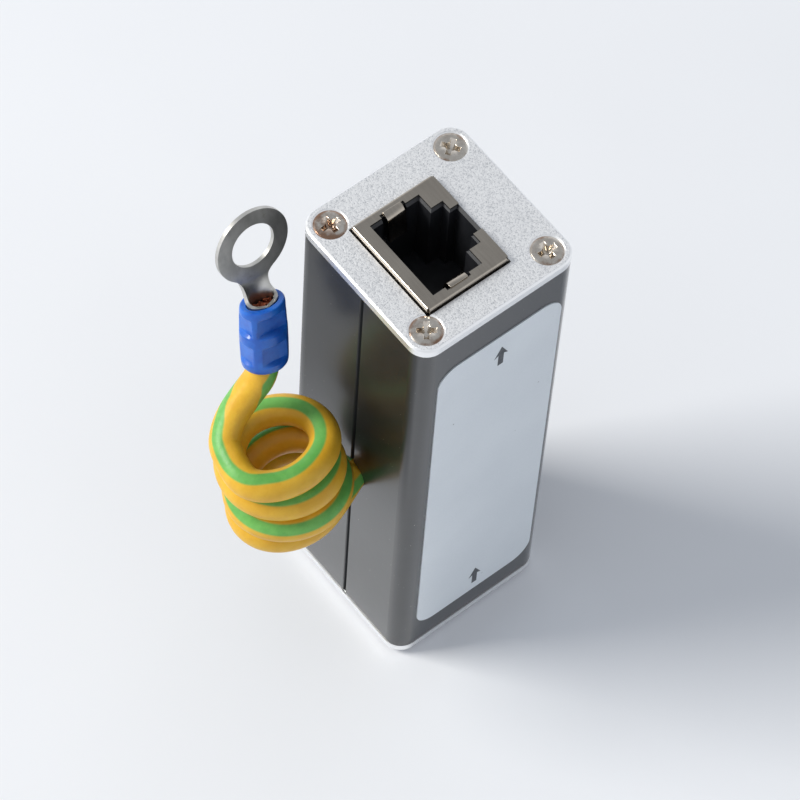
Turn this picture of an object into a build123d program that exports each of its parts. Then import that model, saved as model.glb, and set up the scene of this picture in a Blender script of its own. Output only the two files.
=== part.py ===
from build123d import *
import os
from math import radians, tan

# Inline surge protector for network cable, in millimetres. +Z runs along the housing,
# the label faces -Y, and the ground lead leaves through the seam on the -X face.
# The origin is on the surface that the lower jack's face rests on, under the housing's axis.

# Housing: a square aluminium tube, split along its length in two halves
housing_width = 25.0
housing_radius = 2.5
housing_length = 78.4
wall = 1.5
inner_radius = 0.8
seam_y = -0.6
seam_groove = 0.5
tongue_width = 0.5
tongue_height = 0.8
tongue_gap = 0.05

# End plates
plate_overhang = 0.1
plate_radius = 2.8
plate_thickness = 1.4
plate_edge = 0.25
cutout_gap = 0.2

# Screws: countersunk, cross recess, cutting their own thread in the housing's channels
screw_inset = 2.9
screw_radius = 1.25
screw_length = 8.0
screw_head_radius = 2.1
screw_head_edge = 0.15
screw_hole_radius = 1.4
countersink_radius = 2.25
countersink_angle = 90
screw_seat_gap = 0.02
screw_turns = (0, 33, -4, 53)
channel_radius = 2.0
recess_span = 2.5
recess_width = 0.55
recess_depth = 0.85
recess_taper = 14
screw_point = 0.6

# Jack: the same shielded eight-pole socket at both ends
jack_stand = 0.9
jack_height = 12.85
jack_width = 15.4
jack_x = -1.675
jack_y = -0.3
jack_depth = 18.0
sheet = 0.25
bend_radius = 0.4
corner_notch = 0.6
shell_gap = 0.05
window_inset = 1.9
window_width = 12.6
window_step1_width = 7.6
window_step1_height = 1.8
window_step2_width = 4.6
window_step2_height = 1.4
finger_width = 2.75
finger_place = 3.75
finger_notch = 0.5
finger_reach = 4.5
finger_lean = 0.95
leg_width = 1.6
leg_length = 1.2
leg_setback = 4.6
leg_hole_gap = 0.2
socket_inset = 0.3
socket_side = 0.35
socket_depth = 12.5
latch_step1_gap = 0.25
latch_step1_side = 0.3
latch_step2_gap = 0.15
latch_step2_side = 0.15
latch_lip = 0.4
lead_in = 0.35
finger_pocket = 0.6
pocket_over = 1.0
cut_over = 0.01
post_radius = 1.6
post_inset = 2.0
post_setback = 10.5
post_length = 2.6
post_chamfer = 0.3

# Contacts: eight flat spring wires in slots of the insulator
contact_count = 8
contact_pitch = 1.02
contact_thickness = 0.3
contact_width = 0.4
contact_slot = 0.6
contact_bend = 0.35
contact_behind = 0.95
contact_front = 1.9
contact_reach = 1.65
contact_tip_depth = 9.5
pin_setback = 1.6
pin_row = 2.54
pin_length = 1.0
pin_hole_radius = 0.4

# Circuit board: stands in rails of the two halves, on the latch side of the jacks
board_thickness = 1.6
board_end_gap = 0.7
board_side_gap = 0.1
rail_width = 0.8
rail_height = 1.0
rail_root = 0.2
hole_gap = 0.05

# Gas discharge tubes and clamping diodes, between the two jacks
tube_radius = 2.75
tube_length = 6.0
tube_cap = 0.9
tube_neck = 0.15
tube_setback = 13.0
tube_lead_radius = 0.4
tube_lead_rise = 1.4
tube_lead_bend = 0.6
diode_inset = 4.8
diode_length = 4.9
diode_width = 3.9
diode_height = 1.5
diode_lift = 0.15
diode_edge = 0.3
diode_leg_reach = 1.1
diode_leg_pitch = 1.27
diode_leg_width = 0.4
diode_leg_thickness = 0.2
diode_leg_shoulder = 0.44
diode_leg_foot = 0.605
diode_leg_bend = 0.12

# Ground lead: stranded copper in a yellow and green jacket
lead_radius = 2.1
conductor_radius = 1.1
exit_y = -0.9
exit_z = 37.1
exit_slope = 0.42
exit_reach = 6.0
lead_hole_radius = 2.65
inner_reach = 4.0
coil_radius = 6.6
coil_web = 1.6
strip_length = 3.0
conductor_stub = 1.5
solder_radius = 2.0
solder_height = 1.1
solder_lip = 0.12
solder_curve = 1.2
solder_gap = 0.02

# Ring terminal and its sleeve, in a frame along the lead's end
sleeve_length = 10.0
sleeve_wide = 3.15
sleeve_flat = 2.85
sleeve_edge = 0.3
sleeve_bore = 2.3
jacket_depth = 3.0
approach = 1.5
crimp_length = 2.4
crimp_depth = 0.35
crimp_places = (3.4, 7.0)
barrel_radius = 2.0
barrel_wall = 0.45
neck_thickness = 0.6
neck_width = 3.7
neck_gap = 0.2
scoop_length = 1.4
ring_reach = 8.2
ring_radius = 5.4
ring_hole_radius = 3.2
neck_fillet = 2.2
strand_recess = 0.5
strand_gap = 0.02

# Label: a thin printed sticker on the front face
label_left = 2.95
label_right = 2.15
label_radius = 3.2
label_thickness = 0.15
label_lift = 4.4
label_drop = 6.1

# Places that follow from the sizes above
half = housing_width / 2
inside = half - wall
plate_width = housing_width + 2 * plate_overhang
screw_offset = half - screw_inset
jack_side_x = jack_x - jack_height / 2
board_x = jack_x + jack_height / 2
board_far_x = board_x + board_thickness
body_z = jack_stand + plate_thickness
body_top = body_z + housing_length
total_height = body_top + plate_thickness + jack_stand
middle = Plane.XY.offset(total_height / 2)
jack_back = total_height - jack_depth
jack_front = total_height
board_half_width = inside - board_side_gap
rail_shift = board_side_gap + rail_width / 2
rail_places = (board_x - rail_shift, board_far_x + rail_shift)
corners = [(x, y) for x in (-screw_offset, screw_offset) for y in (-screw_offset, screw_offset)]
label_width = housing_width - label_left - label_right
label_height = housing_length - label_lift - label_drop
label_x = (label_left - label_right) / 2
tube_spread = board_half_width / 2
diode_spread = board_half_width - diode_inset
pin_places = [
    (jack_y + (k - (contact_count - 1) / 2) * contact_pitch, jack_back + pin_setback + pin_row * (k % 2))
    for k in range(contact_count)
]
post_z = total_height - post_setback
post_spread = jack_width / 2 - post_inset
leg_z = jack_back + leg_setback
window_x = jack_side_x + window_inset
step1_x = board_x - window_step2_height - window_step1_height
step2_x = board_x - window_step2_height
window_height = step1_x - window_x
finger_x = window_x + finger_place
socket_x = window_x + socket_inset
latch1_x = step1_x - latch_step1_gap
latch2_x = step2_x - latch_step2_gap
latch2_height = board_x - latch_lip - latch2_x
socket_width = window_width - 2 * socket_side
latch_step1_width = window_step1_width - 2 * latch_step1_side
latch_step2_width = window_step2_width - 2 * latch_step2_side
contact_run_x = socket_x - contact_behind
contact_tip_x = socket_x + contact_reach
leg_y = jack_width / 2 - sheet / 2


def route_radii(points):
    """Radius of each arc of a cord: 0.45 of the shorter run over the tangent of half the turn."""
    vectors = [Vector(*point) for point in points]
    radii = []
    for before, here, after in zip(vectors, vectors[1:], vectors[2:]):
        arriving, leaving = here - before, after - here
        turn = arriving.get_angle(leaving)
        radii.append(0.45 * min(arriving.length, leaving.length) / tan(radians(turn / 2)))
    return radii


def housing_half(front):
    """One half of the split tube: walls, screw channels, board rails and its side of the seam."""
    side = -1 if front else 1
    depth = half + side * seam_y
    with BuildPart() as shell:
        with BuildSketch(Plane.XY.offset(body_z)):
            RectangleRounded(housing_width, housing_width, housing_radius)
            RectangleRounded(2 * inside, 2 * inside, inner_radius, mode=Mode.SUBTRACT)
            with Locations(*corners):
                Circle(channel_radius)
            for rail_x in rail_places:
                with Locations((rail_x, side * (inside - rail_height / 2))):
                    Rectangle(rail_width, rail_height + rail_root)
            with Locations(*corners):
                Circle(screw_radius + screw_seat_gap, mode=Mode.SUBTRACT)
            with Locations((0, seam_y + side * depth / 2)):
                Rectangle(2 * housing_width, depth, mode=Mode.INTERSECT)
            seam_places = [(x, seam_y) for x in (-half + wall / 2, half - wall / 2)]
            if front:
                with Locations(*[(x, y + tongue_height / 2) for x, y in seam_places]):
                    Rectangle(tongue_width, tongue_height)
            else:
                groove_height = tongue_height + tongue_gap
                with Locations(*[(x, y + groove_height / 2) for x, y in seam_places]):
                    Rectangle(tongue_width + 2 * tongue_gap, groove_height, mode=Mode.SUBTRACT)
            with Locations((-half, seam_y), (half, seam_y)):
                Rectangle(seam_groove, seam_groove, rotation=45, mode=Mode.SUBTRACT)
        extrude(amount=housing_length)
        # The hole for the ground lead is drilled through the seam
        with BuildSketch(Plane.YZ.offset(-half - wall)):
            with Locations((seam_y, exit_z)):
                Circle(lead_hole_radius)
        extrude(amount=3 * wall, mode=Mode.SUBTRACT)
    return shell


def mirrored(upper):
    """The same piece at the lower end, mirrored through the middle of the part."""
    with BuildPart() as lower:
        mirror(upper.part, about=middle)
    return lower


with BuildPart() as housing_front:
    add(housing_half(front=True).part)

with BuildPart() as housing_rear:
    add(housing_half(front=False).part)

# End plate: bead-blasted sheet with the jack's cut-out and four countersunk holes
with BuildPart() as top_end_plate:
    with BuildSketch(Plane.XY.offset(body_top)):
        RectangleRounded(plate_width, plate_width, plate_radius)
        with Locations((jack_x, jack_y)):
            Rectangle(jack_height + 2 * cutout_gap, jack_width + 2 * cutout_gap, mode=Mode.SUBTRACT)
    extrude(amount=plate_thickness)
    rim = faces().sort_by(Axis.Z)[-1].outer_wire().edges()
    chamfer(rim, plate_edge)
    with Locations(*[(x, y, body_top + plate_thickness) for x, y in corners]):
        CounterSinkHole(screw_hole_radius, countersink_radius, plate_thickness, countersink_angle)

bottom_end_plate = mirrored(top_end_plate)

# Screws: the head's cone seats in the countersink, with its face level with the plate's
head_lift = screw_head_radius + screw_head_edge + screw_seat_gap - countersink_radius
screw_top = total_height - jack_stand + head_lift
shank_z = -(screw_head_edge + screw_head_radius - screw_radius)
with BuildPart() as screw:
    with BuildSketch(Plane.XZ):
        with BuildLine():
            Polyline(
                (0, 0),
                (screw_head_radius - screw_head_edge, 0),
                (screw_head_radius, -screw_head_edge),
                (screw_radius, shank_z),
                (screw_radius, screw_point - screw_length),
                (screw_radius - screw_point, -screw_length),
                (0, -screw_length),
                close=True,
            )
        make_face()
    revolve(axis=Axis.Z)
    with BuildSketch():
        Rectangle(recess_span, recess_width)
        Rectangle(recess_width, recess_span)
    extrude(amount=-recess_depth, taper=recess_taper, mode=Mode.SUBTRACT)

with BuildPart() as top_plate_screws:
    for (x, y), turn in zip(corners, screw_turns):
        with Locations(Location((x, y, screw_top), (0, 0, turn))):
            add(screw.part)

bottom_plate_screws = mirrored(top_plate_screws)

# Label on the front half
with BuildPart() as front_label:
    with BuildSketch(Plane.XZ.offset(half)):
        with Locations((label_x, body_z + label_lift + label_height / 2)):
            RectangleRounded(label_width, label_height, label_radius)
    extrude(amount=label_thickness)

# Jack shield: sheet folded over the face, the back, the sides and the top of the insulator
with BuildPart() as top_jack_shield:
    with BuildSketch(Plane.XY.offset(jack_back)):
        with Locations((jack_x, jack_y)):
            Rectangle(jack_height, jack_width)
    extrude(amount=jack_depth)
    folds = edges().filter_by(Axis.Z).group_by(Axis.X)[0] + edges().group_by(Axis.Z)[-1].sort_by(Axis.X)[:-1]
    fillet(folds, bend_radius)
    with BuildSketch(Plane.XY.offset(jack_back + sheet)):
        with Locations((jack_x + sheet, jack_y)):
            Rectangle(jack_height, jack_width - 2 * sheet)
    extrude(amount=jack_depth - 2 * sheet, mode=Mode.SUBTRACT)
    # Bend reliefs at the four corners of the face
    with Locations(*[
        (x, jack_y + side * jack_width / 2, jack_front)
        for x in (jack_side_x, board_x) for side in (-1, 1)
    ]):
        Box(corner_notch, corner_notch, 2 * corner_notch, mode=Mode.SUBTRACT)
    # Window for the plug, stepped for its latch and open to the board's side
    with BuildSketch(Plane.XY.offset(jack_front)):
        with Locations((window_x + window_height / 2, jack_y)):
            Rectangle(window_height, window_width)
        with Locations((step1_x + window_step1_height / 2, jack_y)):
            Rectangle(window_step1_height, window_step1_width)
        with Locations((step2_x + window_step2_height / 2, jack_y)):
            Rectangle(window_step2_height, window_step2_width)
        with Locations(*[
            (finger_x + along * (finger_width + finger_notch) / 2, jack_y + side * window_width / 2)
            for along in (-1, 1) for side in (-1, 1)
        ]):
            Rectangle(finger_notch, 2 * finger_notch)
    extrude(amount=-sheet, mode=Mode.SUBTRACT)
    # Spring fingers, bent in from the window's long sides
    for side in (-1, 1):
        edge_y = jack_y + side * window_width / 2
        with BuildSketch(Plane.YZ.offset(finger_x - finger_width / 2)):
            with BuildLine():
                FilletPolyline(
                    (edge_y + side * finger_notch, jack_front - sheet / 2),
                    (edge_y - side * sheet, jack_front - sheet / 2),
                    (edge_y - side * finger_lean, jack_front - finger_reach),
                    radius=bend_radius,
                )
            trace(line_width=sheet)
        extrude(amount=finger_width)
    # Legs that are soldered in the board
    leg_x = board_x + (board_thickness + leg_length - sheet) / 2
    with Locations(*[(leg_x, jack_y + side * leg_y, leg_z) for side in (-1, 1)]):
        Box(board_thickness + leg_length + sheet, sheet, leg_width)

bottom_jack_shield = mirrored(top_jack_shield)

# Jack insulator: black moulding with the stepped socket, contact slots and two locating posts
insulator_x = jack_side_x + sheet + shell_gap
insulator_front = jack_front - sheet - shell_gap
insulator_back = jack_back + sheet + shell_gap
insulator_width = jack_width - 2 * (sheet + shell_gap)
socket_floor = insulator_front - socket_depth
slot_front = jack_front - contact_front + contact_slot
with BuildPart() as top_jack_insulator:
    with BuildSketch(Plane.XY.offset(insulator_back)):
        with Locations(((insulator_x + board_x) / 2, jack_y)):
            Rectangle(board_x - insulator_x, insulator_width)
    extrude(amount=insulator_front - insulator_back)
    fillet(edges().filter_by(Axis.Z).group_by(Axis.X)[0], bend_radius)
    with BuildSketch(Plane.XY.offset(insulator_front)):
        with Locations(((socket_x + latch1_x) / 2, jack_y)):
            Rectangle(latch1_x - socket_x, socket_width)
        with Locations(((latch1_x + latch2_x) / 2, jack_y)):
            Rectangle(latch2_x - latch1_x, latch_step1_width)
        with Locations((latch2_x + latch2_height / 2, jack_y)):
            Rectangle(latch2_height, latch_step2_width)
    extrude(amount=-socket_depth, mode=Mode.SUBTRACT)
    # Lead-in around the mouth
    mouth = faces().filter_by(Axis.Z).sort_by(Axis.Z)[-1].inner_wires()[0].edges()
    chamfer(mouth, lead_in)
    # Pockets behind the spring fingers
    with Locations(*[
        (finger_x, jack_y + side * (socket_width + finger_pocket) / 2, insulator_front - finger_reach / 2)
        for side in (-1, 1)
    ]):
        Box(finger_width + 2 * finger_notch, finger_pocket, finger_reach + pocket_over, mode=Mode.SUBTRACT)
    # Slots for the contacts along the socket, and channels for their pins behind it
    slot_x = contact_run_x - contact_slot / 2
    for pin_y, pin_z in pin_places:
        slot_back = pin_z - contact_slot / 2
        with Locations(((slot_x + socket_x) / 2, pin_y, (slot_back + slot_front) / 2)):
            Box(socket_x - slot_x + cut_over, contact_slot, slot_front - slot_back, mode=Mode.SUBTRACT)
        with Locations(((slot_x + board_x) / 2, pin_y, pin_z)):
            Box(board_x - slot_x + cut_over, contact_slot, contact_slot, mode=Mode.SUBTRACT)
    # Locating posts
    with BuildSketch(Plane.YZ.offset(board_x)):
        with Locations(*[(jack_y + side * post_spread, post_z) for side in (-1, 1)]):
            Circle(post_radius)
    extrude(amount=post_length)
    chamfer(faces().sort_by(Axis.X)[-2:].edges(), post_chamfer)

bottom_jack_insulator = mirrored(top_jack_insulator)

# Jack contacts: from the pin, along the slot, round the front and back into the socket
with BuildPart() as top_jack_contacts:
    for pin_y, pin_z in pin_places:
        with BuildSketch(Plane.XZ.offset(-pin_y)):
            with BuildLine():
                FilletPolyline(
                    (board_far_x + pin_length, pin_z),
                    (contact_run_x, pin_z),
                    (contact_run_x, jack_front - contact_front),
                    (socket_x, jack_front - contact_front),
                    (contact_tip_x, jack_front - contact_tip_depth),
                    radius=contact_bend,
                )
            trace(line_width=contact_thickness)
        extrude(amount=contact_width / 2, both=True)

bottom_jack_contacts = mirrored(top_jack_contacts)

# Places of the parts on the board, as (y, z)
middle_z = total_height / 2
tube_places = [(y, middle_z + along * tube_setback) for along in (-1, 1) for y in (-tube_spread, tube_spread)]
tube_lead_offset = tube_length / 2 + tube_lead_rise
diode_places = [(y, middle_z) for y in (-diode_spread, diode_spread)]
ground_y = exit_y + inner_reach * exit_slope
upper_pins = [(y, z) for y, z in pin_places]
upper_posts = [(jack_y + side * post_spread, post_z) for side in (-1, 1)]
upper_legs = [(jack_y + side * leg_y, leg_z) for side in (-1, 1)]


def both_ends(places):
    """Places at the upper jack and their mirror images at the lower one."""
    return places + [(y, total_height - z) for y, z in places]


with BuildPart() as circuit_board:
    board_length = housing_length - 2 * board_end_gap
    with BuildSketch(Plane.YZ.offset(board_x)):
        with Locations((0, middle_z)):
            Rectangle(2 * board_half_width, board_length)
        with Locations(*both_ends(upper_pins)):
            Circle(pin_hole_radius, mode=Mode.SUBTRACT)
        with Locations(*both_ends(upper_posts)):
            Circle(post_radius + hole_gap, mode=Mode.SUBTRACT)
        with Locations(*both_ends(upper_legs)):
            Rectangle(sheet + leg_hole_gap, leg_width + leg_hole_gap, mode=Mode.SUBTRACT)
        with Locations(*[(y, z + end * tube_lead_offset) for y, z in tube_places for end in (-1, 1)]):
            Circle(tube_lead_radius + hole_gap, mode=Mode.SUBTRACT)
        with Locations((ground_y, exit_z)):
            Circle(conductor_radius + hole_gap, mode=Mode.SUBTRACT)
    extrude(amount=board_thickness)

# Gas discharge tubes: ceramic barrel, two metal caps, two leads bent into the board
tube_x = board_x - tube_radius - hole_gap
gas_tubes = []
for tube_y, tube_z in tube_places:
    with BuildPart() as gas_tube:
        with Locations((tube_x, tube_y, tube_z)):
            Cylinder(tube_radius - tube_neck, tube_length)
        cap_shift = (tube_length - tube_cap) / 2
        with Locations(*[(tube_x, tube_y, tube_z + end * cap_shift) for end in (-1, 1)]):
            Cylinder(tube_radius, tube_cap)
        for end in (-1, 1):
            with BuildLine() as lead_line:
                FilletPolyline(
                    (tube_x, tube_y, tube_z + end * (tube_length / 2 - tube_cap / 2)),
                    (tube_x, tube_y, tube_z + end * tube_lead_offset),
                    (board_far_x + pin_length, tube_y, tube_z + end * tube_lead_offset),
                    radius=tube_lead_bend,
                )
            with BuildSketch(Plane(lead_line.line @ 0, z_dir=lead_line.line % 0)):
                Circle(tube_lead_radius)
            sweep(path=lead_line.line)
    gas_tubes.append(gas_tube)

# Clamping diodes: moulded bodies with four gull-wing legs a side
diode_arrays = []
for diode_y, diode_z in diode_places:
    with BuildPart() as diode_array:
        with Locations((board_x - diode_lift - diode_height / 2, diode_y, diode_z)):
            Box(diode_height, diode_width, diode_length)
        chamfer(edges().filter_by(Axis.Z).group_by(Axis.X)[0], diode_edge)
        foot_x = board_x - diode_leg_thickness / 2
        shoulder_x = board_x - diode_lift - diode_height / 2
        for side in (-1, 1):
            edge_y = diode_y + side * diode_width / 2
            for k in range(4):
                leg_centre = diode_z + (k - 1.5) * diode_leg_pitch
                with BuildSketch(Plane.XY.offset(leg_centre - diode_leg_width / 2)):
                    with BuildLine():
                        FilletPolyline(
                            (shoulder_x, edge_y - side * diode_leg_thickness),
                            (shoulder_x, edge_y + side * diode_leg_shoulder),
                            (foot_x, edge_y + side * diode_leg_foot),
                            (foot_x, edge_y + side * diode_leg_reach),
                            radius=diode_leg_bend,
                        )
                    trace(line_width=diode_leg_thickness)
                extrude(amount=diode_leg_width)
    diode_arrays.append(diode_array)

# Ground lead inside the housing: from the side hole to the board
exit_point = (-half, exit_y, exit_z)
strip_x = board_x - strip_length
inner_route = [exit_point, (-half + inner_reach, ground_y, exit_z), (strip_x, ground_y, exit_z)]
with BuildPart() as inner_ground_lead:
    with BuildLine() as inner_line:
        FilletPolyline(*inner_route, radius=route_radii(inner_route)[0])
    with BuildSketch(Plane(inner_line.line @ 0, z_dir=inner_line.line % 0)):
        Circle(lead_radius)
    sweep(path=inner_line.line)

with BuildPart() as ground_conductor:
    with BuildSketch(Plane.YZ.offset(strip_x)):
        with Locations((ground_y, exit_z)):
            Circle(conductor_radius)
    extrude(amount=strip_length + board_thickness + conductor_stub)

# Solder fillet on the far side of the board
solder_in = ground_y + conductor_radius + solder_gap
solder_out = ground_y + solder_radius
solder_top = board_far_x + solder_height
with BuildPart() as ground_solder:
    with BuildSketch(Plane.XY.offset(exit_z)):
        with BuildLine():
            Polyline(
                (board_far_x, solder_out),
                (board_far_x, solder_in),
                (solder_top, solder_in),
                (solder_top, solder_in + solder_lip),
            )
            RadiusArc((solder_top, solder_in + solder_lip), (board_far_x, solder_out), -solder_curve)
        make_face()
    revolve(axis=Axis((0, ground_y, exit_z), (1, 0, 0)))

# Ground lead outside: a short stretch to the coil, three stacked turns with a part turn below,
# and a tail that rises into the sleeve. The points of the coil and the tail stay as chosen.
exit_start = (-half - exit_reach, exit_y - exit_reach * exit_slope, exit_z)
exit_plane = Plane(origin=exit_start, z_dir=Vector(*exit_point) - Vector(*exit_start))
coil_turns = [(-23.1, 2.3, 50.1), (-22.8, 0.6, 46.1), (-22.6, 0.1, 42.1)]
lower_turn = [(-20.1, 6.2, 41.0), (-29.2, 1.0, 38.9), (-20.6, -4.3, 37.0)]
rise_corner = (-26.8, 8.2, 54.3)
tail_corner = (-24.0, 8.7, 56.7)
tail_share = 0.65
tail_start = tuple(Vector(*rise_corner) * (1 - tail_share) + Vector(*tail_corner) * tail_share)
rise_route = [(-29.9, 2.6, 51.5), (-29.5, 4.9, 52.2), (-28.4, 6.8, 53.1), rise_corner, tail_start]
sleeve_mouth = (-20.23, 8.58, 61.0)
terminal_face = Vector(0, -0.96, 0.28)
terminal_axis = Vector(0.15, 0.277, 0.949)
sleeve_plane = Plane(origin=sleeve_mouth, x_dir=terminal_axis.cross(terminal_face), z_dir=terminal_axis)
sleeve_entry = tuple(sleeve_plane.from_local_coords((0, 0, -approach)))
jacket_end = tuple(sleeve_plane.from_local_coords((0, 0, jacket_depth)))
tail_route = [tail_start, tail_corner, sleeve_entry, jacket_end]
for name, route in (("inner", inner_route), ("rise", rise_route), ("tail", tail_route)):
    print(name, "radii", [round(radius, 2) for radius in route_radii(route)])

with BuildPart() as ground_lead_exit:
    with BuildSketch(exit_plane):
        Circle(lead_radius)
    extrude(amount=(Vector(*exit_point) - Vector(*exit_start)).length)

with BuildPart() as ground_lead_coil:
    with Locations(*coil_turns):
        Torus(coil_radius, lead_radius)
    # Webs that fill the hollows between the turns
    for upper, lower in zip(coil_turns, coil_turns[1:]):
        web_centre = (Vector(*upper) + Vector(*lower)) * 0.5
        with BuildSketch(Plane.XY.offset(web_centre.Z - coil_web / 2)):
            with Locations((web_centre.X, web_centre.Y)):
                Circle(coil_radius + coil_web / 2)
                Circle(coil_radius - coil_web / 2, mode=Mode.SUBTRACT)
        extrude(amount=coil_web)
    # The part turn below, from a rounded start under the lowest turn to the exit stretch
    with BuildLine() as lower_line:
        lower_arc = ThreePointArc(*lower_turn)
    with BuildSketch(Plane(lower_arc @ 0, z_dir=lower_arc % 0)):
        Circle(lead_radius)
    sweep(path=lower_line.line)
    with Locations(lower_turn[0], lower_turn[-1]):
        Sphere(lead_radius)
    with BuildSketch(exit_plane):
        Circle(lead_radius)
    extrude(amount=-(Vector(*exit_start) - Vector(*lower_turn[-1])).length)
    # The start of the rise to the sleeve
    with BuildLine() as rise_line:
        FilletPolyline(*rise_route, radius=route_radii(rise_route))
    with BuildSketch(Plane(rise_line.line @ 0, z_dir=rise_line.line % 0)):
        Circle(lead_radius)
    sweep(path=rise_line.line)
    with Locations(rise_route[0]):
        Sphere(lead_radius)

with BuildPart() as ground_lead_tail:
    with BuildLine() as tail_line:
        FilletPolyline(*tail_route, radius=route_radii(tail_route))
    with BuildSketch(Plane(tail_line.line @ 0, z_dir=tail_line.line % 0)):
        Circle(lead_radius)
    sweep(path=tail_line.line)

# Ring terminal: barrel rolled from sheet, a scooped neck and the ring
neck_z = sleeve_length + neck_gap
ring_z = sleeve_length + ring_reach
neck_plane = Plane(
    origin=sleeve_plane.from_local_coords((0, barrel_radius - neck_thickness, 0)),
    x_dir=sleeve_plane.x_dir,
    z_dir=sleeve_plane.y_dir,
)
with BuildPart() as ring_terminal:
    with BuildSketch(sleeve_plane.offset(jacket_depth)):
        Circle(barrel_radius)
        Circle(barrel_radius - barrel_wall, mode=Mode.SUBTRACT)
    extrude(amount=sleeve_length - jacket_depth)
    # Scoop: the rear of the barrel, carried on into the neck
    with BuildSketch(sleeve_plane.offset(sleeve_length - neck_gap)):
        Circle(barrel_radius)
        Circle(barrel_radius - barrel_wall, mode=Mode.SUBTRACT)
        with Locations((0, -neck_thickness)):
            Rectangle(3 * barrel_radius, 2 * barrel_radius, mode=Mode.SUBTRACT)
    extrude(amount=scoop_length + neck_gap)
    with BuildSketch(neck_plane) as neck_sketch:
        with Locations((0, -ring_z)):
            Circle(ring_radius)
        with Locations((0, -(neck_z + ring_z) / 2)):
            Rectangle(neck_width, ring_z - neck_z)
        throat = neck_sketch.vertices().sort_by(Axis.Y)[-4:-2]
        fillet(throat, neck_fillet)
        with Locations((0, -ring_z)):
            Circle(ring_hole_radius, mode=Mode.SUBTRACT)
    extrude(amount=neck_thickness)

# Copper strands inside the barrel
with BuildPart() as lead_strands:
    with BuildSketch(sleeve_plane.offset(jacket_depth)):
        Circle(barrel_radius - barrel_wall - strand_gap)
    extrude(amount=sleeve_length - jacket_depth - strand_recess)

# Sleeve over the barrel and the end of the jacket, flattened by two crimps
with BuildPart() as terminal_sleeve:
    with BuildSketch(sleeve_plane):
        Ellipse(sleeve_wide, sleeve_flat)
    extrude(amount=sleeve_length)
    fillet(edges().filter_by(GeomType.ELLIPSE), sleeve_edge)
    for place in crimp_places:
        for side in (-1, 1):
            crimp_centre = sleeve_plane.from_local_coords((0, side * sleeve_flat, place))
            with Locations(Plane(crimp_centre, x_dir=sleeve_plane.x_dir, z_dir=sleeve_plane.z_dir)):
                Box(2 * sleeve_wide, 2 * crimp_depth, crimp_length, mode=Mode.SUBTRACT)
    with BuildSketch(sleeve_plane):
        Circle(sleeve_bore)
    extrude(amount=jacket_depth, mode=Mode.SUBTRACT)
    with BuildSketch(sleeve_plane.offset(jacket_depth)):
        Circle(barrel_radius)
    extrude(amount=sleeve_length, mode=Mode.SUBTRACT)

pieces = {
    "housing_front": housing_front,
    "housing_rear": housing_rear,
    "top_end_plate": top_end_plate,
    "bottom_end_plate": bottom_end_plate,
    "top_plate_screws": top_plate_screws,
    "bottom_plate_screws": bottom_plate_screws,
    "front_label": front_label,
    "top_jack_shield": top_jack_shield,
    "bottom_jack_shield": bottom_jack_shield,
    "top_jack_insulator": top_jack_insulator,
    "bottom_jack_insulator": bottom_jack_insulator,
    "top_jack_contacts": top_jack_contacts,
    "bottom_jack_contacts": bottom_jack_contacts,
    "circuit_board": circuit_board,
    "inner_ground_lead": inner_ground_lead,
    "ground_conductor": ground_conductor,
    "ground_solder": ground_solder,
    "ground_lead_exit": ground_lead_exit,
    "ground_lead_coil": ground_lead_coil,
    "ground_lead_tail": ground_lead_tail,
    "ring_terminal": ring_terminal,
    "lead_strands": lead_strands,
    "terminal_sleeve": terminal_sleeve,
}
for number, gas_tube in enumerate(gas_tubes, start=1):
    pieces[f"gas_tube_{number}"] = gas_tube
for number, diode_array in enumerate(diode_arrays, start=1):
    pieces[f"diode_array_{number}"] = diode_array

os.makedirs("parts", exist_ok=True)
for name, piece in pieces.items():
    piece.part.label = name
    export_step(piece.part, f"parts/{name}.step")
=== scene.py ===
import random
from math import atan, atan2, cos, exp, pi, radians, sin, sqrt

import bmesh
import bpy
from mathutils import Matrix, Vector


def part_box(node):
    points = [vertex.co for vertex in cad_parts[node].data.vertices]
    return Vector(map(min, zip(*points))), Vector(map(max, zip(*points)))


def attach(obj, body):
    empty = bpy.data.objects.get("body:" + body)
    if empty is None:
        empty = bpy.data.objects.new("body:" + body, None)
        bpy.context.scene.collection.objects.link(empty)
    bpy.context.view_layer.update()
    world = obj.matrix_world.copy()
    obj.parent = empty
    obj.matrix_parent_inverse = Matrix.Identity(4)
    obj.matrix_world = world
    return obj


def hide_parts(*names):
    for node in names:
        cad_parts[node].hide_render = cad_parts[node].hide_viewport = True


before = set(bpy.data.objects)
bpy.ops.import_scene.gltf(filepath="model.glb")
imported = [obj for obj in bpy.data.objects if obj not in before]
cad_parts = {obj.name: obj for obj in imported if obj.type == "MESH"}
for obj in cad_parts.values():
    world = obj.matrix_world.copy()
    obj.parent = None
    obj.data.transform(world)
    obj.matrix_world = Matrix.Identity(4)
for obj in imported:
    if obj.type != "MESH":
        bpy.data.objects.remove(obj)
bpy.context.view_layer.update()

MM = 0.001

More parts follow.
